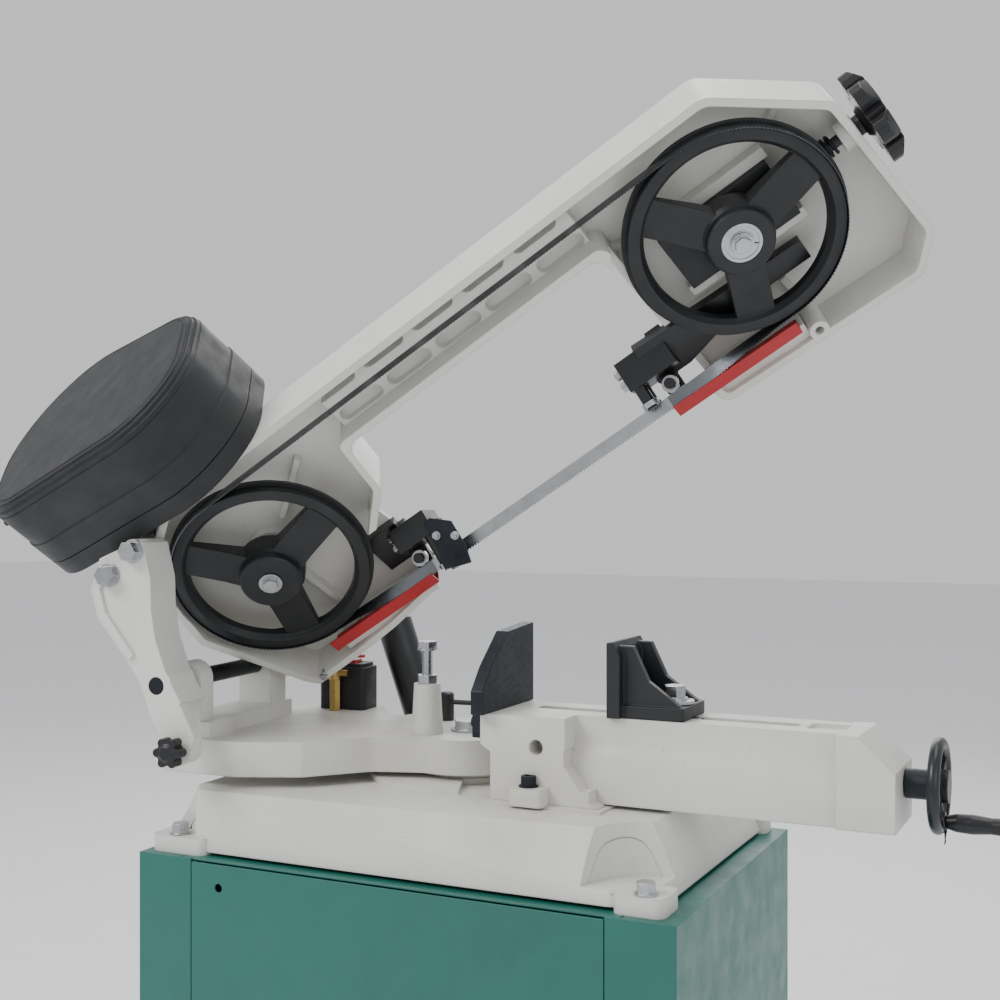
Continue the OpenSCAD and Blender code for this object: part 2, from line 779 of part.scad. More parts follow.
module pivot_bracket() {
    front = -172;
    face_t = 12;
    flange_back = -133;
    left_edge = [[-38, 122], [-60, 113], [-70, 86], [-63, 60], [-30, 20], [-16, 0], [-4, -34],
        [8, -52], [20, -66]];
    right_edge = [[34, -62], [40, -44], [24, -14], [11, 10], [-1, 42], [-5, 66], [-6, 96], [-14, 128]];
    color(cream) at_hinge() difference() {
        union() {
            translate([0, front + face_t, 0]) rotate([90, 0, 0]) linear_extrude(face_t)
                polygon(concat(left_edge, right_edge));
            // flange along the right edge
            translate([0, flange_back, 0]) rotate([90, 0, 0]) linear_extrude(flange_back - front)
                polygon([[11, 10], [-1, 42], [-5, 66], [-6, 96], [-14, 128], [-22, 126],
                    [-14, 94], [-13, 66], [-9, 40], [4, 6], [18, -18], [26, -14]]);
            // raised rib along the left edge
            translate([0, front, 0]) rotate([90, 0, 0]) linear_extrude(3)
                polygon([[-58, 108], [-66, 86], [-59, 62], [-27, 22], [-22, 27], [-52, 65],
                    [-58, 86], [-51, 104]]);
            rod_y(front, flange_back, 16);
            translate([-49, 0, 98]) rod_y(front, flange_back, 12);
            translate([-24, 0, 120]) rod_y(front, flange_back, 11);
            translate([22, 0, -56]) rod_y(front, front + face_t + 6, 14);
        }
        rod_y(-180, -120, hinge_r);
        translate([-49, 0, 98]) rod_y(-190, -120, 4);
        translate([-24, 0, 120]) rod_y(-190, -120, 4);
        translate([22, 0, -56]) rod_y(-190, -120, 5.05);
    }
}

// Screws of the bracket, the guides and the housings.
module bow_bolts() {
    color(bright_steel) at_hinge() {
        translate([-49, -172, 98]) rotate([90, 0, 0]) hex_screw(16, 4, 66);
        translate([-24, -172, 120]) rotate([90, 0, 0]) hex_screw(16, 4, 50);
        // set screw on the hinge shaft
        translate([0, -150, 0]) rotate([0, -115, 0]) translate([0, 0, 16.5]) cylinder(d = 9, h = 8, $fn = 6);
    }
    color(bright_steel) at_bow() {
        for (z = [13, 23])
            translate([lower_roller_x - 34, -3, z]) rotate([0, -90, 0]) hex_screw(9, 3, 0.5);
        for (q = [[9, -2], [25, -12]])
            translate([lower_roller_x + q[0], deflector_y - 2, q[1]]) rotate([90, 0, 0]) hex_screw(6, 2, 0.5);
    }
    color(bright_steel) at_wheels() translate([-50, -128.5, rim_front]) hex_screw(6, 2, 8);
}

module star_knob() {
    color(satin_black) at_hinge() translate([22, -172.4, -56]) rotate([90, 0, 0]) {
        translate([0, 0, 5]) lobed_knob(14, 12, 6, 5);
        translate([0, 0, -24]) cylinder(r = 5, h = 26);
    }
}

module damper_bracket() {
    ear_u = ear_x - wheel_x;
    color(dark_iron) difference() {
        union() {
            at_wheels() {
                translate([0, 0, plate_back - 8]) plate(box_outline(ear_u - 24, -118, ear_u + 24, -90, 5), 8);
                box([ear_u - 7, -113, -128], [ear_u + 7, -97, plate_back - 6]);
            }
            at_bow() translate([ear_x, 0, ear_z]) rod_y(80, 97, 11);
        }
        at_bow() translate([ear_x, 0, ear_z]) rod_y(97, 140, 60);
    }
    color(bright_steel) at_bow() translate([ear_x, 0, ear_z]) {
        rod_y(97, 111, 7);
        rod_y(110, 127, 4);
        rod_y(126, 130, 10);
    }
}

// ---------------------------------------------------------------- drive

case_r = 46;
gear_r = 29.5;
worm_r = 8;
worm_low = -46;
shaft_r = 10;

module gearbox() {
    color(dark_iron) difference() {
        union() {
            at_wheels() {
                translate([0, 0, -84]) cylinder(r = case_r, h = 84 + plate_back - 0.05, $fn = fine);
                for (a = [70, 190, 310])
                    rotate(a) translate([case_r, 0, -52]) cylinder(r = 9, h = 52 + plate_back - 0.05);
                translate([0, 0, -87]) cylinder(r = 24, h = 4);
            }
            at_belt_shaft(worm_u, worm_n) translate([0, 0, worm_low - 8])
                cylinder(r = 17.5, h = cover_v - 8 - worm_low);
        }
        at_wheels() {
            translate([0, 0, -78]) cylinder(r = gear_r + 3, h = 32, $fn = fine);
            translate([0, 0, -60]) cylinder(r = shaft_r + 0.05, h = 60, $fn = fine);
        }
        at_belt_shaft(worm_u, worm_n) {
            translate([0, 0, -24]) cylinder(r = worm_r + 2, h = 48);
            translate([0, 0, worm_low]) cylinder(r = 6.05, h = 200);
        }
    }
}

module drive_shaft() {
    color(bright_steel) at_wheels() {
        translate([0, 0, -76]) cylinder(r = shaft_r, h = 76 + hub_front, $fn = fine);
        translate([0, 0, hub_front]) cylinder(r = 11, h = 2);
        translate([0, 0, hub_front + 2]) cylinder(d = 15, h = 5, $fn = 6);
    }
}

module worm_gear() {
    teeth = 16;
    color(brass) at_wheels() translate([0, 0, worm_n - 8]) difference() {
        cylinder(r = gear_r, h = 16, $fn = fine);
        translate([0, 0, -1]) cylinder(r = shaft_r, h = 18, $fn = fine);
        for (i = [0:teeth - 1])
            rotate(360 * (i + 0.5) / teeth) translate([gear_r + 1, 0, -1]) cylinder(r = 3.4, h = 18, $fn = 6);
    }
}

module worm_shaft() {
    color(bright_steel) at_belt_shaft(worm_u, worm_n) {
        translate([0, 0, worm_low + 1]) cylinder(r = 6, h = belt_v + 20 - worm_low);
        for (i = [-4:4]) translate([0, 0, i * 5 - 1.4]) cylinder(r1 = worm_r - 1.4, r2 = worm_r, h = 1.4);
        for (i = [-4:4]) translate([0, 0, i * 5]) cylinder(r1 = worm_r, r2 = worm_r - 1.4, h = 1.4);
    }
}

// V-belt pulley with one groove, centred on z = 0.
module pulley(pitch_r, bore_r) {
    rotate_extrude($fn = fine) polygon([
        [bore_r, -12], [pitch_r + 3, -12], [pitch_r + 3, -8], [pitch_r - 5, -3.5], [pitch_r - 5, 3.5],
        [pitch_r + 3, 8], [pitch_r + 3, 12], [bore_r, 12]]);
}

module gear_pulley() {
    color(machined) at_belt_shaft(worm_u, worm_n) translate([0, 0, belt_v]) pulley(gear_pulley_r, 6);
}

motor_top = 96;

module motor() {
    fin_count = 20;
    color(satin_black) at_belt_shaft(motor_u, motor_n) {
        difference() {
            union() {
                translate([0, 0, motor_top - motor_len + 14]) {
                    cylinder(r = motor_r - 5, h = motor_len - 14, $fn = fine);
                    for (i = [0:fin_count - 1])
                        rotate(360 * i / fin_count)
                            translate([motor_r - 7, -1.5, 12]) cube([4, 3, motor_len - 36]);
                }
                translate([0, 0, motor_top - motor_len]) cylinder(r = motor_r - 2, h = 30, $fn = fine);
                translate([0, 0, motor_top - 16]) cylinder(r = motor_r, h = 16, $fn = fine);
                translate([0, 0, motor_top - 1]) cylinder(r = 24, h = 7);
            }
            translate([0, 0, motor_top - 30]) cylinder(r = 7.05, h = 60);
        }
    }
}

module motor_pulley() {
    color(machined) at_belt_shaft(motor_u, motor_n) {
        translate([0, 0, belt_v]) pulley(motor_pulley_r, 5);
        translate([0, 0, motor_top - 28]) cylinder(r = 7, h = belt_v - motor_top + 20);
    }
}

// Points around the belt, on a line at the given distance outside the pitch line.
function belt_points(grow) =
    let (
        a = [worm_u, -worm_n],
        b = [motor_u, -motor_n],
        span = norm(b - a),
        along = atan2(b[1] - a[1], b[0] - a[0]),
        open = acos((gear_pulley_r - motor_pulley_r) / span),
        steps = 16
    )
    concat(
        [for (i = [0:steps]) let (q = along + open + (360 - 2 * open) * i / steps)
            a + (gear_pulley_r + grow) * [cos(q), sin(q)]],
        [for (i = [0:steps]) let (q = along - open + 2 * open * i / steps)
            b + (motor_pulley_r + grow) * [cos(q), sin(q)]]);

module drive_belt() {
    color(satin_black) at_wheels() rotate([-90, 0, 0]) translate([0, 0, belt_v - 3])
        linear_extrude(6) difference() {
            polygon(belt_points(3));
            polygon(belt_points(-3));
        }
}

// Plan of the belt cover, moved inwards by shrink.
cover_outline = [[-166, -2, 60], [97, -68, 75], [97, 112, 60], [-166, 244, 100]];
module cover_plan(shrink) {
    polygon(rounded(inset(cover_outline, shrink), shrink, 14));
}

module at_cover(v) {
    at_wheels() rotate([-90, 0, 0]) translate([0, 0, v]) children();
}

cover_wall = 3;

module belt_tray() {
    color(satin_black) difference() {
        at_cover(cover_v) linear_extrude(tray_h) cover_plan(0);
        at_cover(cover_v + 4) linear_extrude(tray_h) cover_plan(cover_wall + 2);
        at_belt_shaft(worm_u, worm_n) cylinder(r = 10, h = 200);
        at_belt_shaft(motor_u, motor_n) cylinder(r = 12, h = 200);
    }
}

module belt_lid() {
    lid_v = cover_v + tray_h + 0.4;
    lid_h = cover_h - tray_h - 0.4;
    band_h = 25;
    crown_steps = 4;
    crown = 12;
    color(satin_black) difference() {
        union() {
            at_cover(lid_v) linear_extrude(band_h) cover_plan(0);
            at_cover(lid_v) linear_extrude(lid_h - crown) cover_plan(1.5);
            for (i = [1:crown_steps])
                at_cover(lid_v + lid_h - crown - 1)
                    linear_extrude(1 + crown * sin(90 * i / crown_steps))
                        cover_plan(1.5 + crown * (1 - cos(90 * i / crown_steps)));
        }
        at_cover(lid_v - 1) linear_extrude(lid_h - 4) cover_plan(cover_wall + crown);
        at_cover(lid_v - 1) linear_extrude(lid_h - crown) cover_plan(cover_wall + 1.5);
        at_wheels() translate([0, lid_knob_v, lid_knob_n]) rod_x(-180, -150, 4.05);
    }
}

lid_knob_v = 178;
lid_knob_n = -62;

module lid_knob() {
    color(satin_black) at_wheels() translate([-158, lid_knob_v, lid_knob_n]) rotate([0, -90, 0]) {
        cylinder(r = 4, h = 20);
        translate([0, 0, 17]) lobed_knob(11, 9, 6, 4);
    }
}

// ---------------------------------------------------------------- wheels and blade

spoke_w = 34;

module spoked_wheel(bore_r) {
    difference() {
        union() {
            rotate_extrude($fn = fine) polygon([
                [rim_inner_r - 4, -2], [flange_r - 1, -3], [flange_r, -2.5], [flange_r, -0.5],
                [flange_r - 0.6, 0], [tread_r, 0], [tread_r, tread_w], [tread_r - 1.5, tread_w + 0.6],
                [rim_inner_r + 1, tread_w + 0.6],
                [rim_inner_r, tread_w - 1], [rim_inner_r - 3, 5]]);
            rotate_extrude($fn = fine) polygon([
                [bore_r, -7], [hub_r + 3, -7], [hub_r + 3, 12], [hub_r, 17], [hub_r, hub_front - 2],
                [hub_r - 2, hub_front], [bore_r, hub_front]]);
            for (a = [10, 130, 250])
                rotate(a) rotate([90, 0, 0]) translate([0, 0, -spoke_w / 2]) linear_extrude(spoke_w)
                    polygon([[hub_r - 8, -4], [rim_inner_r - 1, -1.8], [rim_inner_r - 1, 6],
                        [hub_r + 12, 11], [hub_r - 8, 16]]);
        }
        translate([0, 0, -20]) cylinder(r = bore_r, h = 60, $fn = fine);
    }
}

bearing_r = 17.5;

module drive_wheel() {
    color(satin_black) at_wheels() spoked_wheel(shaft_r);
}

module idler_wheel() {
    color(satin_black) at_idler() spoked_wheel(bearing_r);
}

// Two ball bearings, one at each end of the idler's hub.
module idler_bearings() {
    color(bright_steel) at_idler() for (z = [-6, 14])
        translate([0, 0, z]) difference() {
            cylinder(r = bearing_r, h = 11, $fn = fine);
            translate([0, 0, -1]) cylinder(r = idler_axle_r + 0.05, h = 13, $fn = fine);
            translate([0, 0, 10]) difference() {
                cylinder(r = bearing_r - 3, h = 2, $fn = fine);
                cylinder(r = idler_axle_r + 3, h = 2, $fn = fine);
            }
        }
}

module tension_slide() {
    color(dark_iron) difference() {
        union() {
            at_idler() {
                box([-58, -28.6, plate_front + 0.3], [52, 28.6, -12]);
                translate([0, 0, -13]) cylinder(r = 11, h = 6.6);
                translate([0, 0, -13]) cylinder(r = 20, h = 4.6);
                translate([0, 0, -10]) cylinder(r = idler_axle_r, h = 10 + hub_front, $fn = fine);
                box([34, tension_v - 10, -24], [52, tension_v + 10, -8]);
            }
        }
        at_idler() translate([0, tension_v, tension_n]) rod_x(20, 60, 5);
    }
    color(bright_steel) at_idler() {
        translate([0, 0, hub_front - 0.8]) cylinder(r = 9.5, h = 1.6);
        translate([0, 0, hub_front + 0.8]) cylinder(d = 15, h = 5, $fn = 6);
    }
}

module tension_screw() {
    color(satin_black) at_wheels() translate([0, tension_v, tension_n]) {
        rod_x(wheel_span + 30, 668, 4.9);
        rod_x(656.3, 662, 9);
        translate([661, 0, 0]) rotate([0, 90, 0]) {
            cylinder(r1 = 12, r2 = 16, h = 5);
            translate([0, 0, 4]) intersection() {
                linear_extrude(17) {
                    circle(r = 26, $fn = 12);
                    for (a = [0:60:300]) rotate(a) translate([30, 0]) circle(r = 12, $fn = 12);
                }
                union() {
                    cylinder(r = 42, h = 9, $fn = fine);
                    translate([0, 0, 9]) cylinder(r1 = 42, r2 = 30, h = 9, $fn = fine);
                }
            }
        }
    }
}

module tension_spring() {
    turns = 5;
    color(dark_iron) at_wheels() translate([608, tension_v, tension_n]) rotate([0, 90, 0]) {
        difference() {
            cylinder(r = 8, h = 26);
            translate([0, 0, -1]) cylinder(r = 5.4, h = 28);
        }
        for (i = [0:turns])
            translate([0, 0, 1.5 + i * 4.6]) rotate_extrude() translate([8.6, 0]) circle(r = 1.5, $fn = 16);
    }
}

// Centre and roll angle of the blade along its loop, in the wheel frame.
cut_v = (cut_z - wheel_z) * cos(wheel_tilt) - (cut_y - wheel_y) * sin(wheel_tilt);
cut_n = -(cut_y - wheel_y) * cos(wheel_tilt) - (cut_z - wheel_z) * sin(wheel_tilt);
twist = 90 - wheel_tilt;
guide_a = 104;
guide_b = 404;
function ease(t) = t * t * (3 - 2 * t);
function in_guide(u) =
    u < guide_a ? ease(u / guide_a)
    : u > guide_b ? ease((wheel_span - u) / (wheel_span - guide_b))
    : 1;
function lower_run(u) = [
    [u, -run_r + in_guide(u) * (cut_v + run_r), blade_n + in_guide(u) * (cut_n - blade_n)],
    [0, -cos(in_guide(u) * twist), -sin(in_guide(u) * twist)]];
function wrap_point(centre, a) = [[centre + run_r * cos(a), run_r * sin(a), blade_n], [cos(a), sin(a), 0]];
arc_steps = 40;
guide_steps = 12;

// Stations around the loop: each has the blade's centre and the direction out of its upper face.
blade_stations = concat(
    [for (i = [0:arc_steps]) wrap_point(wheel_span, 90 - 180 * i / arc_steps)],
    [for (i = [1:guide_steps]) lower_run(wheel_span + (guide_b - wheel_span) * i / guide_steps)],
    [for (i = [0:guide_steps - 1]) lower_run(guide_a - guide_a * i / guide_steps)],
    [for (i = [0:arc_steps]) wrap_point(0, 270 - 180 * i / arc_steps)]
);

module blade() {
    rings = len(blade_stations);
    corners = [for (s = blade_stations)
        let (
            out = s[1],
            across = abs(out[2]) < 0.001 ? [0, 0, 1]
                : unit(cross(out, [1, 0, 0])) * (out[1] < 0 ? 1 : -1)
        )
        each [
            s[0] + out * blade_t / 2 + across * blade_w / 2,
            s[0] + out * blade_t / 2 - across * blade_w / 2,
            s[0] - out * blade_t / 2 - across * blade_w / 2,
            s[0] - out * blade_t / 2 + across * blade_w / 2]];
    faces = [for (i = [0:rings - 1], k = [0:3]) let (j = (i + 1) % rings, m = (k + 1) % 4)
        each [[4 * i + k, 4 * i + m, 4 * j + k], [4 * i + m, 4 * j + m, 4 * j + k]]];
    color(bright_steel) at_wheels() polyhedron(corners, faces);
}

// Folded red guards outside the blade, one on each housing.
module blade_guards() {
    color(guard_red) at_wheels() for (start = [-15, 396]) {
        box([start, guard_v, -8], [start + 130, guard_v + 1.5, 16]);
        box([start, guard_v, 14.4], [start + 130, guard_v + 12, 16]);
    }
}

// ---------------------------------------------------------------- guides

roller_r = 8;
roller_gap = 0.3;
lower_roller_x = 236;
upper_roller_x = 482;
roller_y = blade_t / 2 + roller_gap + roller_r;
back_roller_z = cut_z + blade_w / 2 + roller_gap + roller_r;

// Guide block over the blade, with its studs. The side rollers stand at x = 0 and the block
// reaches from them towards -X.
module guide_block(length, low, up) {
    box([-length, -15, 4], [8, 17, up]);
    box([-34, 8, back_roller_z - 6], [-16, 13, 5]);
    for (side = [-1, 1]) translate([0, cut_y + side * roller_y, low]) {
        cylinder(r = 3, h = 5 - low);
        cylinder(r = 5, h = 1.5);
        translate([0, 0, 7.1]) cylinder(r = 6, h = -2 - low);
    }
    translate([-24, 0, back_roller_z]) rod_y(-4, 9, 3);
    translate([-24, 0, back_roller_z]) rod_y(-5.5, -4, 5);
}

module lower_guide() {
    color(satin_black) {
        at_bow() translate([lower_roller_x, 0, 0]) guide_block(34, -33, 28);
        at_wheels() {
            box([72, -92, plate_front], [110, -50, -21]);
            box([98, -84, -30], [118, -56, -12]);
        }
    }
}

module upper_guide() {
    color(satin_black) {
        at_bow() translate([upper_roller_x, 0, 0]) mirror([1, 0, 0]) {
            guide_block(42, -18.3, 34);
            box([-46, -13, 30], [-30, 9, 42]);
        }
        at_wheels() translate([0, 0, -24]) linear_extrude(11)
            polygon([[395, -88], [430, -88], [500, -70], [568, -70], [568, -50], [480, -48], [395, -44]]);
    }
    color(bright_steel) at_bow() for (z = [14, 26])
        translate([upper_roller_x - 8, -3, z]) rotate([0, -90, 0]) hex_screw(9, 3, 0.5);
}

// Ball bearing with its bore along Z, running on a 3 mm radius stud.
module roller(height) {
    difference() {
        cylinder(r = roller_r, h = height, $fn = fine);
        translate([0, 0, -1]) cylinder(r = 3.05, h = height + 2, $fn = fine);
    }
}

module side_roller(x, side, z) {
    color(bright_steel) at_bow() translate([x, cut_y + side * roller_y, z]) roller(5);
}

module back_roller(x) {
    color(bright_steel) at_bow() translate([x, cut_y + 2.5, back_roller_z]) rotate([90, 0, 0]) roller(5);
}

module lower_roller_front() {
    side_roller(lower_roller_x, -1, -31.3);
}

module lower_roller_rear() {
    side_roller(lower_roller_x, 1, -31.3);
}

module lower_roller_back() {
    back_roller(lower_roller_x - 24);
}

module upper_roller_front() {
    side_roller(upper_roller_x, -1, -16.6);
}

module upper_roller_rear() {
    side_roller(upper_roller_x, 1, -16.6);
}

module upper_roller_back() {
    back_roller(upper_roller_x + 24);
}

deflector_y = -16;

module chip_deflector() {
    color(dark_iron) at_bow() translate([lower_roller_x, 0, 0]) {
        box([8.2, deflector_y - 1, -16], [12, 12, 16]);
        translate([0, deflector_y, 0]) rotate([90, 0, 0]) linear_extrude(2) polygon([
            [4, 16], [12, 16], [29, 2], [29, -25], [25, -42], [12, -38], [-1, -33], [-1, -24], [4, -14]]);
    }
}

// ---------------------------------------------------------------- assembly

stand_left_panel();
stand_right_panel();
stand_front_panel();
stand_back_panel();
stand_top();
base_casting();
base_bolts();
swivel_pin();
vise_body();
vise_bolts();
fixed_jaw();
moving_jaw();
jaw_nut();
jaw_bolt();
vise_screw();
handwheel();
crank_handle();
swivel_arm();
stop_bolt();
pivot_shaft();
swivel_lock_lever();
switch_box();
switch_rocker();
feed_valve();
feed_lever();
damper_cylinder();
damper_rod();
bow_frame();
pivot_bracket();
bow_bolts();
star_knob();
damper_bracket();
gearbox();
drive_shaft();
worm_gear();
worm_shaft();
gear_pulley();
motor();
motor_pulley();
drive_belt();
belt_tray();
belt_lid();
lid_knob();
drive_wheel();
idler_wheel();
idler_bearings();
tension_slide();
tension_screw();
tension_spring();
blade();
blade_guards();
lower_guide();
upper_guide();
lower_roller_front();
lower_roller_rear();
lower_roller_back();
upper_roller_front();
upper_roller_rear();
upper_roller_back();
chip_deflector();
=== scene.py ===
import json
import math

import bmesh
import bpy
from mathutils import Matrix, Vector
from mathutils.bvhtree import BVHTree


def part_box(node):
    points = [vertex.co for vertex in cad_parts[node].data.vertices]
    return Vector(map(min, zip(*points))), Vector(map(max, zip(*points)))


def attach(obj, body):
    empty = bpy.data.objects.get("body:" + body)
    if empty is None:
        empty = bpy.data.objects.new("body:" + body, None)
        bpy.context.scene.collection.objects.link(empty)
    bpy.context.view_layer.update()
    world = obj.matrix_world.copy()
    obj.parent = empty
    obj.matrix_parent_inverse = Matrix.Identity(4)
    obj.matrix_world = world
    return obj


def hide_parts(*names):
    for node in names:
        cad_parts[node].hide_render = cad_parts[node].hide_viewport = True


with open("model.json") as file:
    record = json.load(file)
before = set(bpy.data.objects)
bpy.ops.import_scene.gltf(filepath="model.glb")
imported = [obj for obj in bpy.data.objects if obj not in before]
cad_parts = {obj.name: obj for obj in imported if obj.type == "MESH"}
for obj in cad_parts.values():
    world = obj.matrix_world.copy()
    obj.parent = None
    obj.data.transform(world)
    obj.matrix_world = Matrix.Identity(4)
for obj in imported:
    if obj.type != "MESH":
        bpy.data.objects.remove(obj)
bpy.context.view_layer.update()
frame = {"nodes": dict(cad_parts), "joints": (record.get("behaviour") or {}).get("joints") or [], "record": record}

BODIES = frame["record"]["behaviour"]["bodies"]
BODY_OF = {node: body for body, nodes in BODIES.items() for node in nodes}
JOINT = {joint["name"]: joint for joint in frame["joints"]}
Z_AXIS = Vector((0.0, 0.0, 1.0))


# ---------------------------------------------------------------- frames

def axis_of(name):
    return Vector(JOINT[name]["axis"]).normalized()


def point_of(name):
    return Vector(JOINT[name]["pos_m"])


# The wheel frame: along the bow, up the wheels' faces, and out of them towards the operator.
ALONG = axis_of("tension_travel")
OUT = axis_of("drive_wheel_spin")
UP = OUT.cross(ALONG).normalized()
DRIVE = point_of("drive_wheel_spin")
IDLER = point_of("idler_spin")
SPAN = (IDLER - DRIVE).length


def basis(origin, x_axis, z_axis):
    """Frame at origin with its Z along z_axis and its X as near to x_axis as that allows."""
    z = z_axis.normalized()
    x = (x_axis - z * x_axis.dot(z)).normalized()
    y = z.cross(x)
    m = Matrix((x, y, z)).transposed().to_4x4()
    m.translation = origin
    return m


WHEELS = basis(DRIVE, ALONG, OUT)


# ---------------------------------------------------------------- materials

class Nodes:
    """Short-hand for building one material's node tree."""

    def __init__(self, name):
        self.material = bpy.data.materials.new(name)
        self.material.use_nodes = True
        self.tree = self.material.node_tree
        self.shader = self.tree.nodes["Principled BSDF"]
        self.place = self.tree.nodes.new("ShaderNodeTexCoord").outputs["Object"]

    def link(self, a, b):
        self.tree.links.new(a, b)

    def noise(self, scale, detail=4.0, rough=0.55, stretch=None):
        node = self.tree.nodes.new("ShaderNodeTexNoise")
        node.inputs["Scale"].default_value = scale
        node.inputs["Detail"].default_value = detail
        node.inputs["Roughness"].default_value = rough
        if stretch:
            turn = self.tree.nodes.new("ShaderNodeMapping")
            turn.inputs["Scale"].default_value = stretch
            self.link(self.place, turn.inputs["Vector"])
            self.link(turn.outputs["Vector"], node.inputs["Vector"])
        else:
            self.link(self.place, node.inputs["Vector"])
        return node.outputs["Fac"]

    def remap(self, value, low, high, to_low, to_high):
        node = self.tree.nodes.new("ShaderNodeMapRange")
        node.inputs["From Min"].default_value = low
        node.inputs["From Max"].default_value = high
        node.inputs["To Min"].default_value = to_low
        node.inputs["To Max"].default_value = to_high
        self.link(value, node.inputs["Value"])
        return node.outputs["Result"]

    def mix(self, factor, a, b):
        node = self.tree.nodes.new("ShaderNodeMix")
        node.data_type = "RGBA"
        self.link(factor, node.inputs["Factor"])
        for value, socket in ((a, node.inputs["A"]), (b, node.inputs["B"])):
            if isinstance(value, tuple):
                socket.default_value = (*value, 1.0)
            else:
                self.link(value, socket)
        return node.outputs["Result"]

    def bump(self, layers, edge=0.0):
        normal = None
        if edge:
            soft = self.tree.nodes.new("ShaderNodeBevel")
            soft.samples = 3
            soft.inputs["Radius"].default_value = edge
            normal = soft.outputs["Normal"]
        for height, strength, distance in layers:
            node = self.tree.nodes.new("ShaderNodeBump")
            node.inputs["Strength"].default_value = strength
            node.inputs["Distance"].default_value = distance
            self.link(height, node.inputs["Height"])
            if normal:
                self.link(normal, node.inputs["Normal"])
            normal = node.outputs["Normal"]
        self.link(normal, self.shader.inputs["Normal"])


def paint(name, colour, dirt, rough, peel=0.12, cast=0.0, chips=None, coat=0.0, edge=0.0):
    """Paint with grime in broad patches, orange peel, a cast surface below and small chips."""
    b = Nodes(name)
    patches = b.remap(b.noise(9.0, 6.0, 0.6), 0.45, 0.78, 0.0, 0.55)
    base = b.mix(patches, colour, dirt)
    specks = b.remap(b.noise(420.0, 2.0), 0.68, 0.74, 0.0, 0.5)
    base = b.mix(specks, base, tuple(c * 0.55 for c in dirt))
    if chips:
        worn = b.remap(b.noise(70.0, 8.0, 0.72), 0.71, 0.73, 0.0, 1.0)
        base = b.mix(worn, base, chips)
    b.link(base, b.shader.inputs["Base Color"])
    gloss = b.remap(b.noise(35.0, 5.0), 0.3, 0.75, rough - 0.08, rough + 0.14)
    b.link(gloss, b.shader.inputs["Roughness"])
    b.shader.inputs["Coat Weight"].default_value = coat
    b.shader.inputs["Coat Roughness"].default_value = 0.15
    layers = [(b.noise(900.0, 2.0), peel, 0.0002)]
    if cast:
        layers.insert(0, (b.noise(160.0, 5.0, 0.6), cast, 0.0006))
    b.bump(layers, edge)
    return b.material


def metal(name, colour, dark, rough, brush=None, pits=0.1):
    """Bare metal with grinding marks along one direction, stains and small pits."""
    b = Nodes(name)
    stains = b.remap(b.noise(22.0, 6.0, 0.65), 0.42, 0.75, 0.0, 0.7)
    b.link(b.mix(stains, colour, dark), b.shader.inputs["Base Color"])
    b.shader.inputs["Metallic"].default_value = 1.0
    lines = b.noise(60.0, 3.0, 0.6, brush or (1.0, 1.0, 24.0))
    b.link(b.remap(lines, 0.3, 0.7, rough - 0.07, rough + 0.12), b.shader.inputs["Roughness"])
    b.bump([(lines, 0.12, 0.0002), (b.noise(600.0, 2.0), pits, 0.0002)])
    return b.material


def plastic(name, colour, dirt, rough, grain=0.25):
    """Moulded plastic or rubber with dusty patches and a fine grain."""
    b = Nodes(name)
    patches = b.remap(b.noise(14.0, 5.0), 0.45, 0.75, 0.0, 0.6)
    b.link(b.mix(patches, colour, dirt), b.shader.inputs["Base Color"])
    gloss = b.remap(b.noise(50.0, 4.0), 0.3, 0.7, rough - 0.06, rough + 0.1)
    b.link(gloss, b.shader.inputs["Roughness"])
    b.bump([(b.noise(1100.0, 3.0), grain, 0.0003)])
    return b.material


CREAM = paint("cream_paint", (0.70, 0.695, 0.655), (0.56, 0.53, 0.45), 0.34,
              peel=0.10, cast=0.16, chips=(0.40, 0.38, 0.34), coat=0.15, edge=0.0014)
CREAM_ROUGH = paint("cream_cast", (0.66, 0.655, 0.615), (0.50, 0.47, 0.40), 0.44,
                    peel=0.12, cast=0.45, chips=(0.34, 0.32, 0.29), coat=0.05, edge=0.0018)
GREEN = paint("green_paint", (0.008, 0.125, 0.098), (0.010, 0.085, 0.068), 0.40,
              peel=0.22, chips=(0.05, 0.10, 0.085), coat=0.1, edge=0.0008)
BLACK = paint("satin_black", (0.0065, 0.0075, 0.0090), (0.013, 0.014, 0.015), 0.36,
              peel=0.14, cast=0.14, chips=(0.05, 0.05, 0.05), coat=0.1)
CAST_BLACK = paint("black_cast", (0.0080, 0.0095, 0.0115), (0.020, 0.020, 0.020), 0.48,
                   peel=0.16, cast=0.5, chips=(0.06, 0.06, 0.06))
RED = paint("red_paint", (0.42, 0.008, 0.013), (0.25, 0.010, 0.012), 0.34,
            peel=0.12, chips=(0.2, 0.12, 0.12), coat=0.2)
OXIDE = metal("black_oxide", (0.040, 0.044, 0.050), (0.018, 0.019, 0.022), 0.44,
              brush=(6.0, 6.0, 6.0), pits=0.25)
STEEL = metal("zinc_steel", (0.52, 0.53, 0.55), (0.30, 0.30, 0.29), 0.27)
GROUND = metal("ground_steel", (0.40, 0.42, 0.43), (0.20, 0.20, 0.19), 0.34, brush=(2.0, 40.0, 2.0))
IRON = metal("machined_iron", (0.22, 0.24, 0.24), (0.11, 0.115, 0.11), 0.40,
             brush=(30.0, 2.0, 2.0), pits=0.2)
BLADE = metal("blade_steel", (0.20, 0.215, 0.23), (0.09, 0.095, 0.105), 0.34, brush=(2.0, 2.0, 40.0))
# A lighter copy of the blade steel, used as a painted highlight on the cutting run.
HIGHLIGHT_BLADE = metal("blade_steel_painted_highlight", (0.46, 0.47, 0.48), (0.25, 0.26, 0.26), 0.30,
                     brush=(2.0, 2.0, 40.0))
BRASS = metal("brass", (0.50, 0.34, 0.12), (0.28, 0.19, 0.07), 0.30)
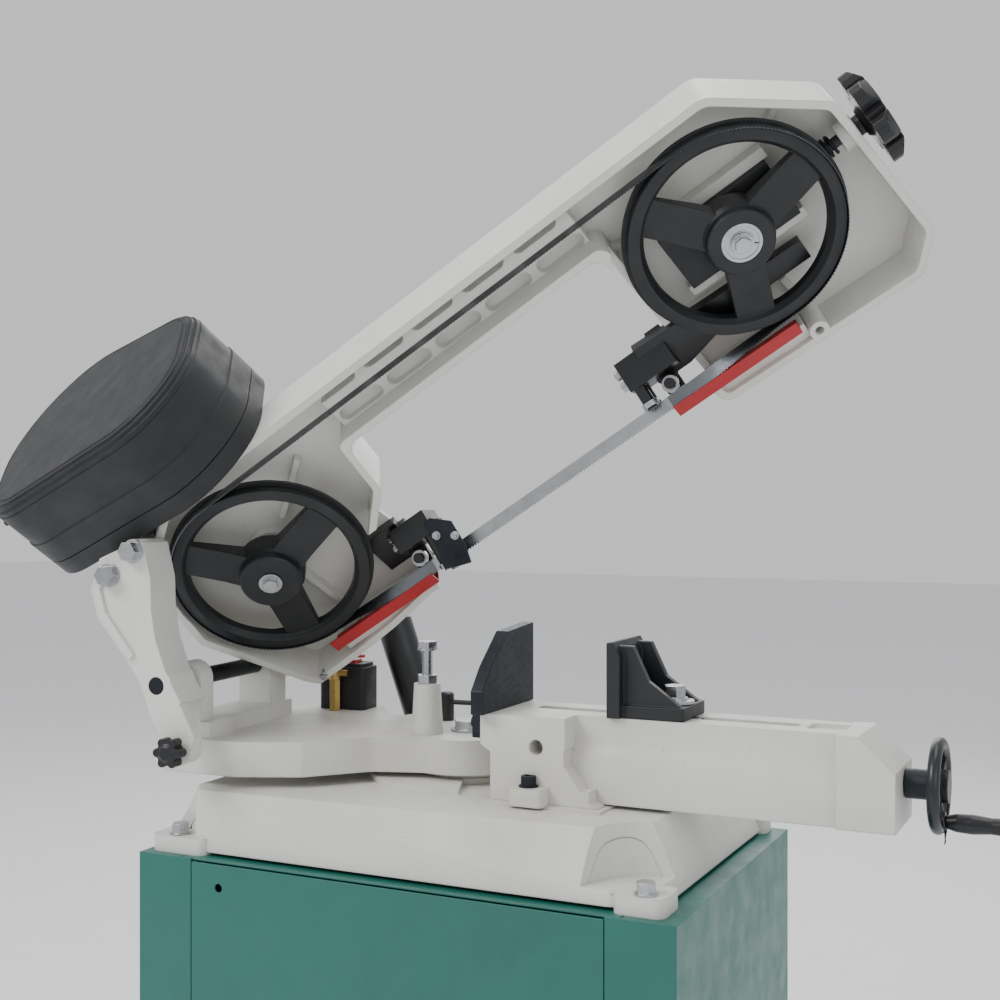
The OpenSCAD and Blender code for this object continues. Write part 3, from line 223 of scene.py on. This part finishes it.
COVER = plastic("textured_plastic", (0.0075, 0.0085, 0.0100), (0.016, 0.016, 0.017), 0.50, grain=0.5)
KNOB = plastic("smooth_plastic", (0.0060, 0.0065, 0.0080), (0.012, 0.012, 0.012), 0.34, grain=0.10)
RED_PLASTIC = plastic("red_plastic", (0.45, 0.008, 0.015), (0.28, 0.008, 0.010), 0.30, grain=0.08)
RUBBER = plastic("rubber", (0.008, 0.008, 0.008), (0.025, 0.025, 0.024), 0.62, grain=0.3)
FLOOR = plastic("studio_floor", (0.84, 0.84, 0.85), (0.80, 0.80, 0.81), 0.62, grain=0.03)


# ---------------------------------------------------------------- pieces

def smooth(obj, angle=34.0):
    """Smooth shading, with edges sharper than the angle kept sharp."""
    for polygon in obj.data.polygons:
        polygon.use_smooth = True
    obj.data.set_sharp_from_angle(angle=math.radians(angle))


def add(name, mesh, material, body):
    """A new piece that rides on a body."""
    obj = bpy.data.objects.new(name, mesh)
    bpy.context.scene.collection.objects.link(obj)
    mesh.materials.clear()
    mesh.materials.append(material)
    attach(obj, body)
    return obj


def refine(node, material, width):
    """A finer copy of a CAD node: flat faces merged, edges rounded by width, smooth shading."""
    mesh = frame["nodes"][node].data.copy()
    mesh.name = node + "_fine"
    bm = bmesh.new()
    bm.from_mesh(mesh)
    bmesh.ops.remove_doubles(bm, verts=bm.verts, dist=1e-6)
    if width:
        bmesh.ops.dissolve_limit(bm, angle_limit=math.radians(0.4), verts=bm.verts, edges=bm.edges)
        bmesh.ops.recalc_face_normals(bm, faces=bm.faces)
    bm.to_mesh(mesh)
    bm.free()
    if "custom_normal" in mesh.attributes:
        mesh.attributes.remove(mesh.attributes["custom_normal"])
    obj = add(node + "_fine", mesh, material, BODY_OF[node])
    smooth(obj)
    if width:
        bevel = obj.modifiers.new("edges", "BEVEL")
        bevel.width = width
        bevel.segments = 2
        bevel.limit_method = "ANGLE"
        bevel.angle_limit = math.radians(28.0)
        bevel.use_clamp_overlap = False
        bevel.harden_normals = True
        bevel.miter_outer = "MITER_ARC"
    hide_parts(node)
    return obj


def join_rings(bm, rings):
    """Faces between neighbouring rings of points, and a flat face on each end."""
    sides = len(rings[0])
    for a, b in zip(rings, rings[1:]):
        for k in range(sides):
            bm.faces.new((a[k], a[(k + 1) % sides], b[(k + 1) % sides], b[k]))
    bm.faces.new(rings[0])
    bm.faces.new(rings[-1])


def finished_mesh(name, bm):
    bmesh.ops.recalc_face_normals(bm, faces=bm.faces)
    mesh = bpy.data.meshes.new(name)
    bm.to_mesh(mesh)
    bm.free()
    return mesh


def tube_mesh(name, points, radius, sides):
    """Round tube with flat ends along a list of points."""
    bm = bmesh.new()
    rings = []
    side = None
    for i, p in enumerate(points):
        before = points[max(i - 1, 0)]
        after = points[min(i + 1, len(points) - 1)]
        direction = (after - before).normalized()
        if side is None:
            side = direction.orthogonal().normalized()
        side = (side - direction * side.dot(direction)).normalized()
        other = direction.cross(side)
        rings.append([bm.verts.new(p + (side * math.cos(2 * math.pi * k / sides)
                                        + other * math.sin(2 * math.pi * k / sides)) * radius)
                      for k in range(sides)])
    join_rings(bm, rings)
    return finished_mesh(name, bm)


def lathe_mesh(name, profile, where, sides):
    """Solid of revolution; profile is radius, height pairs along the local Z of where."""
    bm = bmesh.new()
    rings = []
    for radius, height in profile:
        rings.append([bm.verts.new(where @ Vector((radius * math.cos(2 * math.pi * k / sides),
                                                   radius * math.sin(2 * math.pi * k / sides), height)))
                      for k in range(sides)])
    join_rings(bm, rings)
    return finished_mesh(name, bm)


def helix(start, run, side, radius, turns, steps_per_turn):
    """Points on a helix from start along run, beginning on the given side."""
    other = run.normalized().cross(side)
    steps = int(turns * steps_per_turn)
    turn = 2 * math.pi / steps_per_turn
    return [start + run * (i / steps) + (side * math.cos(turn * i) + other * math.sin(turn * i)) * radius
            for i in range(steps + 1)]


def thread(name, start, direction, length, radius, pitch, material, body):
    """Helical ridge that shows on a screw."""
    side = direction.orthogonal().normalized()
    points = helix(start, direction * length, side, radius, length / pitch, 14)
    obj = add(name, tube_mesh(name, points, min(pitch * 0.3, 0.001), 6), material, body)
    smooth(obj)


# Material of each CAD node that is refined, and the width of its rounded edges.
CAST_PARTS = {
    "base_casting": (CREAM_ROUGH, 0.0), "vise_body": (CREAM_ROUGH, 0.0),
    "swivel_arm": (CREAM_ROUGH, 0.0), "bow_frame": (CREAM, 0.0), "pivot_bracket": (CREAM, 0.0),
    "fixed_jaw": (OXIDE, 0.0008), "moving_jaw": (CAST_BLACK, 0.0010), "gearbox": (CAST_BLACK, 0.0010),
    "motor": (BLACK, 0.0008), "drive_wheel": (CAST_BLACK, 0.0007), "idler_wheel": (CAST_BLACK, 0.0007),
    "lower_guide": (BLACK, 0.0006), "upper_guide": (BLACK, 0.0006), "chip_deflector": (OXIDE, 0.0004),
    "blade_guards": (RED, 0.0003), "switch_box": (COVER, 0.0008), "switch_rocker": (RED_PLASTIC, 0.0005),
    "feed_lever": (RED_PLASTIC, 0.0006), "feed_valve": (BRASS, 0.0004),
    "tension_slide": (CAST_BLACK, 0.0006),
    "tension_screw": (KNOB, 0.0008), "star_knob": (KNOB, 0.0008), "lid_knob": (KNOB, 0.0008),
    "belt_tray": (COVER, 0.0006), "belt_lid": (COVER, 0.0009), "handwheel": (BLACK, 0.0008),
    "crank_handle": (KNOB, 0.0), "swivel_lock_lever": (BLACK, 0.0004), "damper_cylinder": (BLACK, 0.0006),
    "damper_rod": (STEEL, 0.0003), "damper_bracket": (BLACK, 0.0006), "base_bolts": (STEEL, 0.0005),
    "swivel_pin": (STEEL, 0.0005), "vise_bolts": (OXIDE, 0.0004), "jaw_bolt": (STEEL, 0.0005),
    "stop_bolt": (STEEL, 0.0004), "bow_bolts": (STEEL, 0.0004), "pivot_shaft": (OXIDE, 0.0008),
    "drive_shaft": (STEEL, 0.0004), "jaw_nut": (IRON, 0.0006),
    "gear_pulley": (IRON, 0.0004), "motor_pulley": (IRON, 0.0004),
    "stand_left_panel": (GREEN, 0.0007), "stand_right_panel": (GREEN, 0.0007),
    "stand_front_panel": (GREEN, 0.0006), "stand_back_panel": (GREEN, 0.0006), "stand_top": (GREEN, 0.0005),
    "drive_belt": (RUBBER, 0.0005), "worm_gear": (BRASS, 0.0), "worm_shaft": (STEEL, 0.0),
    "idler_bearings": (STEEL, 0.0002),
    "lower_roller_front": (STEEL, 0.0004), "lower_roller_rear": (STEEL, 0.0004),
    "lower_roller_back": (STEEL, 0.0004), "upper_roller_front": (STEEL, 0.0004),
    "upper_roller_rear": (STEEL, 0.0004), "upper_roller_back": (STEEL, 0.0004),
}


def recolour(obj, material, chosen):
    """Give a second material to the faces whose centre passes the test."""
    obj.data.materials.append(material)
    for polygon in obj.data.polygons:
        if chosen(polygon.center):
            polygon.material_index = 1


# Places in the wheel frame that part one material from the next.
GUIDE_BLOCK_END = 0.3727
AXLE_NUT_LOW = 0.0250
SEAL_HEIGHT = 0.024
SEAL_DEPTH = 0.0004
SEAL_INNER_R = 0.0107
SEAL_OUTER_R = 0.0143


def is_guide_bolt(centre):
    """Faces of the two bolts that stand out of the upper guide block."""
    return (centre - DRIVE).dot(ALONG) < GUIDE_BLOCK_END


def is_axle_nut(centre):
    """Faces of the washer and nut on the end of the idler's axle."""
    return (centre - IDLER).dot(OUT) > AXLE_NUT_LOW


def is_bearing_seal(centre):
    """Faces at the bottom of the groove in the outer bearing."""
    from_axle = centre - IDLER
    height = from_axle.dot(OUT)
    reach = (from_axle - OUT * height).length
    return abs(height - SEAL_HEIGHT) < SEAL_DEPTH and SEAL_INNER_R < reach < SEAL_OUTER_R


def make_castings():
    made = {}
    for node, (material, width) in CAST_PARTS.items():
        made[node] = refine(node, material, width)
    recolour(made["upper_guide"], STEEL, is_guide_bolt)
    recolour(made["tension_slide"], STEEL, is_axle_nut)
    recolour(made["idler_bearings"], RUBBER, is_bearing_seal)


# ---------------------------------------------------------------- pockets of the base casting

POCKET_FLOOR = 0.575
POCKET_STEPS = 28
WALL = 0.003
# The floor lies this far below the casting's own, and the wall this far outside its pocket.
SKIN = 0.0004
CLEAR = 0.0003
# How far a wall's top goes into a face above it, or stays below one it comes out of.
BITE = 0.002
SHY = 0.001

# Middle of each corner pocket, its radius, the inner radius of its floor, and the middle
# and spread in degrees of the arc that faces the inside of the casting.
POCKETS = [
    ((0.232, -0.1555), 0.062, 0.020, 133.5, 38.5),
    ((0.232, 0.1525), 0.024, 0.008, 225.0, 40.0),
    ((-0.228, 0.1525), 0.024, 0.008, 315.0, 40.0),
    ((-0.228, -0.1555), 0.024, 0.008, 45.0, 40.0),
]


def pocket_angles(middle, spread):
    return [math.radians(middle - spread + 2 * spread * i / POCKET_STEPS) for i in range(POCKET_STEPS + 1)]


def on_arc(centre, reach, angle, z):
    return Vector((centre[0] + reach * math.cos(angle), centre[1] + reach * math.sin(angle), z))


def pocket_top(tree, place):
    """Height at which a wall at this place meets the casting above it."""
    hit, normal, _, _ = tree.ray_cast(place, Z_AXIS)
    if hit is None:
        return place.z
    return hit.z + BITE if normal.z < 0 else hit.z - SHY


def pocket_wall(bm, tree, centre, radius, middle, spread):
    """Curved wall around one corner pocket, from its floor up to the casting's skin."""
    start = POCKET_FLOOR + SHY
    drop = Z_AXIS * WALL
    rings = []
    for angle in pocket_angles(middle, spread):
        inner = on_arc(centre, radius + CLEAR, angle, start)
        outer = on_arc(centre, radius + WALL, angle, start)
        inner_top = Vector((inner.x, inner.y, pocket_top(tree, inner)))
        outer_top = Vector((outer.x, outer.y, pocket_top(tree, outer)))
        rings.append([bm.verts.new(p) for p in (inner - drop, inner_top, outer_top, outer - drop)])
    join_rings(bm, rings)


def pocket_floor(bm, centre, radius, inner, middle, spread):
    """Thin floor between the foot and the curved wall."""
    low = POCKET_FLOOR - WALL
    high = POCKET_FLOOR - SKIN
    outer = radius + WALL
    rings = []
    for angle in pocket_angles(middle, spread):
        corners = ((inner, low), (inner, high), (outer, high), (outer, low))
        rings.append([bm.verts.new(on_arc(centre, reach, angle, z)) for reach, z in corners])
    join_rings(bm, rings)


def make_pockets():
    """The pockets around the base bolts are closed off from the hollow of the casting."""
    source = bmesh.new()
    source.from_mesh(frame["nodes"]["base_casting"].data)
    tree = BVHTree.FromBMesh(source)
    source.free()
    bm = bmesh.new()
    for centre, radius, inner, middle, spread in POCKETS:
        pocket_wall(bm, tree, centre, radius, middle, spread)
        pocket_floor(bm, centre, radius, inner, middle, spread)
    obj = add("base_pockets", finished_mesh("base_pockets", bm), CREAM_ROUGH,
              BODY_OF["base_casting"])
    smooth(obj)


# ---------------------------------------------------------------- blade

WHEEL_TILT = math.radians(42.0)
BLADE_HALF = 0.00635
BLADE_T = 0.00065
# Radius of the loop on the wheels, and the blade's height in front of the wheel frame.
RUN_R = 0.093625
BLADE_N = 0.00665
# Place of the cutting run in the wheel frame, and the stretch where it is held upright.
CUT_V = -0.09899
CUT_N = 0.00706
GUIDE_A = 0.104
GUIDE_B = 0.404
# Ends of the stretch given a lighter steel as a painted highlight, which lie behind the two guides.
HIGHLIGHT_START = 0.12
HIGHLIGHT_END = 0.395
TOOTH_STEP = 0.0016
TOOTH_DEPTH = 0.0017


def ease(t):
    return t * t * (3.0 - 2.0 * t)


def in_guide(u):
    """Share of the blade's twist at u: 0 on the wheels, 1 between the guides."""
    if u < GUIDE_A:
        return ease(u / GUIDE_A)
    if u > GUIDE_B:
        return ease((SPAN - u) / (SPAN - GUIDE_B))
    return 1.0


def run_station(u):
    """Centre, outward normal and direction of the teeth on the lower run."""
    part = in_guide(u)
    twist = part * (math.pi / 2 - WHEEL_TILT)
    centre = (u, -RUN_R + part * (CUT_V + RUN_R), BLADE_N + part * (CUT_N - BLADE_N))
    return centre, (0.0, -math.cos(twist), -math.sin(twist)), (0.0, -math.sin(twist), math.cos(twist))


def wheel_station(centre_u, angle):
    c = math.cos(angle)
    d = math.sin(angle)
    return (centre_u + RUN_R * c, RUN_R * d, BLADE_N), (c, d, 0.0), (0.0, 0.0, 1.0)


def blade_stations():
    """An even number of stations around the loop, half a tooth apart."""
    straight = int(SPAN / TOOTH_STEP)
    half_turn = int(math.pi * RUN_R / TOOTH_STEP)
    made = [wheel_station(SPAN, math.pi / 2 - math.pi * i / half_turn) for i in range(half_turn)]
    made += [run_station(SPAN * (1 - i / straight)) for i in range(straight)]
    made += [wheel_station(0.0, -math.pi / 2 - math.pi * i / half_turn) for i in range(half_turn)]
    for i in range(straight):
        made.append(((SPAN * i / straight, RUN_R, BLADE_N), (0.0, 1.0, 0.0), (0.0, 0.0, 1.0)))
    return made[:len(made) // 2 * 2]


def is_cutting_run(centre):
    """Faces of the lower run between the two guides, which get a lighter steel as a painted highlight."""
    place = WHEELS.inverted() @ centre
    return place.y < CUT_V / 2 and HIGHLIGHT_START < place.x < HIGHLIGHT_END


def make_blade():
    """The loop drawn again with its teeth: every second station is a gullet."""
    bm = bmesh.new()
    rings = []
    for i, (centre, outward, across) in enumerate(blade_stations()):
        c = Vector(centre)
        o = Vector(outward) * (BLADE_T / 2)
        tip = Vector(across) * (BLADE_HALF - (TOOTH_DEPTH if i % 2 else 0.0))
        back = Vector(across) * BLADE_HALF
        corners = (c + o + tip, c + o - back, c - o - back, c - o + tip)
        rings.append([bm.verts.new(WHEELS @ p) for p in corners])
    for i, a in enumerate(rings):
        b = rings[(i + 1) % len(rings)]
        for k in range(4):
            bm.faces.new((a[k], a[(k + 1) % 4], b[(k + 1) % 4], b[k]))
    obj = add("blade_loop", finished_mesh("blade_loop", bm), BLADE, BODY_OF["blade"])
    smooth(obj, 30.0)
    # The cutting run gets the lighter steel: a painted highlight, not a change in the blade itself.
    recolour(obj, HIGHLIGHT_BLADE, is_cutting_run)
    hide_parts("blade")


# ---------------------------------------------------------------- spring and vise screw

SPRING_LEN = 0.026
SPRING_R = 0.0084
SPRING_TURNS = 5.5
WIRE_R = 0.0014


def make_spring():
    low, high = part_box("tension_spring")
    run = ALONG * SPRING_LEN
    start = (low + high) / 2 - run / 2
    points = helix(start, run, UP, SPRING_R, SPRING_TURNS, 24)
    obj = add("spring_wire", tube_mesh("spring_wire", points, WIRE_R, 10), OXIDE,
              BODY_OF["tension_spring"])
    smooth(obj, 60.0)
    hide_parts("tension_spring")


COLLAR_LEN = 0.0196
PLAIN_LEN = 0.014
THREAD_R = 0.0069
THREAD_PITCH = 0.005


def make_vise_screw():
    """Core, collar and a helical thread that just fits inside the CAD screw."""
    low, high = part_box("vise_screw")
    axis = point_of("vise_screw_turn")
    start = Vector((low.x, axis.y, axis.z))
    along = Vector((1.0, 0.0, 0.0))
    where = basis(start, Vector((0.0, 1.0, 0.0)), along)
    end = high.x - low.x
    collar = end - COLLAR_LEN
    plain = collar - PLAIN_LEN
    profile = [(0.0055, 0.0), (0.0070, 0.0015), (0.0070, plain), (0.0080, plain + 0.001),
               (0.0080, collar), (0.0112, collar + 0.0002), (0.0119, collar + 0.001),
               (0.0119, end - 0.0008), (0.0110, end)]
    obj = add("vise_screw_core", lathe_mesh("vise_screw_core", profile, where, 48), OXIDE,
              BODY_OF["vise_screw"])
    smooth(obj)
    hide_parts("vise_screw")
    thread("vise_screw_thread", start + along * 0.004, along, plain - 0.006, THREAD_R, THREAD_PITCH,
           GROUND, BODY_OF["vise_screw"])


# ---------------------------------------------------------------- stage

def make_stage():
    mesh = bpy.data.meshes.new("floor")
    size = 14.0
    corners = [(-size, -size, 0), (size, -size, 0), (size, size, 0), (-size, size, 0)]
    mesh.from_pydata(corners, [], [(0, 1, 2, 3)])
    floor = bpy.data.objects.new("floor", mesh)
    mesh.materials.append(FLOOR)
    bpy.context.scene.collection.objects.link(floor)


def area(name, where, target, size, power, colour=(1.0, 1.0, 1.0)):
    data = bpy.data.lights.new(name, "AREA")
    data.shape = "RECTANGLE"
    data.size = size
    data.size_y = size * 0.7
    data.energy = power
    data.color = colour
    light = bpy.data.objects.new(name, data)
    light.location = where
    light.rotation_euler = (Vector(target) - Vector(where)).to_track_quat("-Z", "Y").to_euler()
    bpy.context.scene.collection.objects.link(light)


def make_lights():
    aim = (0.0, 0.0, 0.8)
    area("key", (-1.6, -2.2, 2.9), aim, 1.8, 72.0)
    area("fill", (2.4, -1.6, 1.7), aim, 2.4, 14.0, (0.96, 0.98, 1.0))
    area("top", (0.3, 0.4, 3.4), aim, 2.2, 38.0)
    area("back", (-0.6, 2.8, 2.2), aim, 2.4, 30.0)
    world = bpy.data.worlds.new("studio")
    world.use_nodes = True
    background = world.node_tree.nodes["Background"]
    background.inputs["Color"].default_value = (0.93, 0.94, 0.96, 1.0)
    background.inputs["Strength"].default_value = 0.80
    bpy.context.scene.world = world


def make_camera():
    data = bpy.data.cameras.new("camera")
    data.lens = 49.68
    data.sensor_width = 36.0
    data.clip_end = 30.0
    camera = bpy.data.objects.new("camera", data)
    forward = Vector((-0.434, 0.901, 0.0)).normalized()
    camera.location = (0.584, -1.1565, 0.879)
    camera.rotation_euler = forward.to_track_quat("-Z", "Y").to_euler()
    bpy.context.scene.collection.objects.link(camera)
    bpy.context.scene.camera = camera


make_castings()
make_pockets()
make_blade()
make_spring()
make_vise_screw()
make_stage()
make_lights()
make_camera()
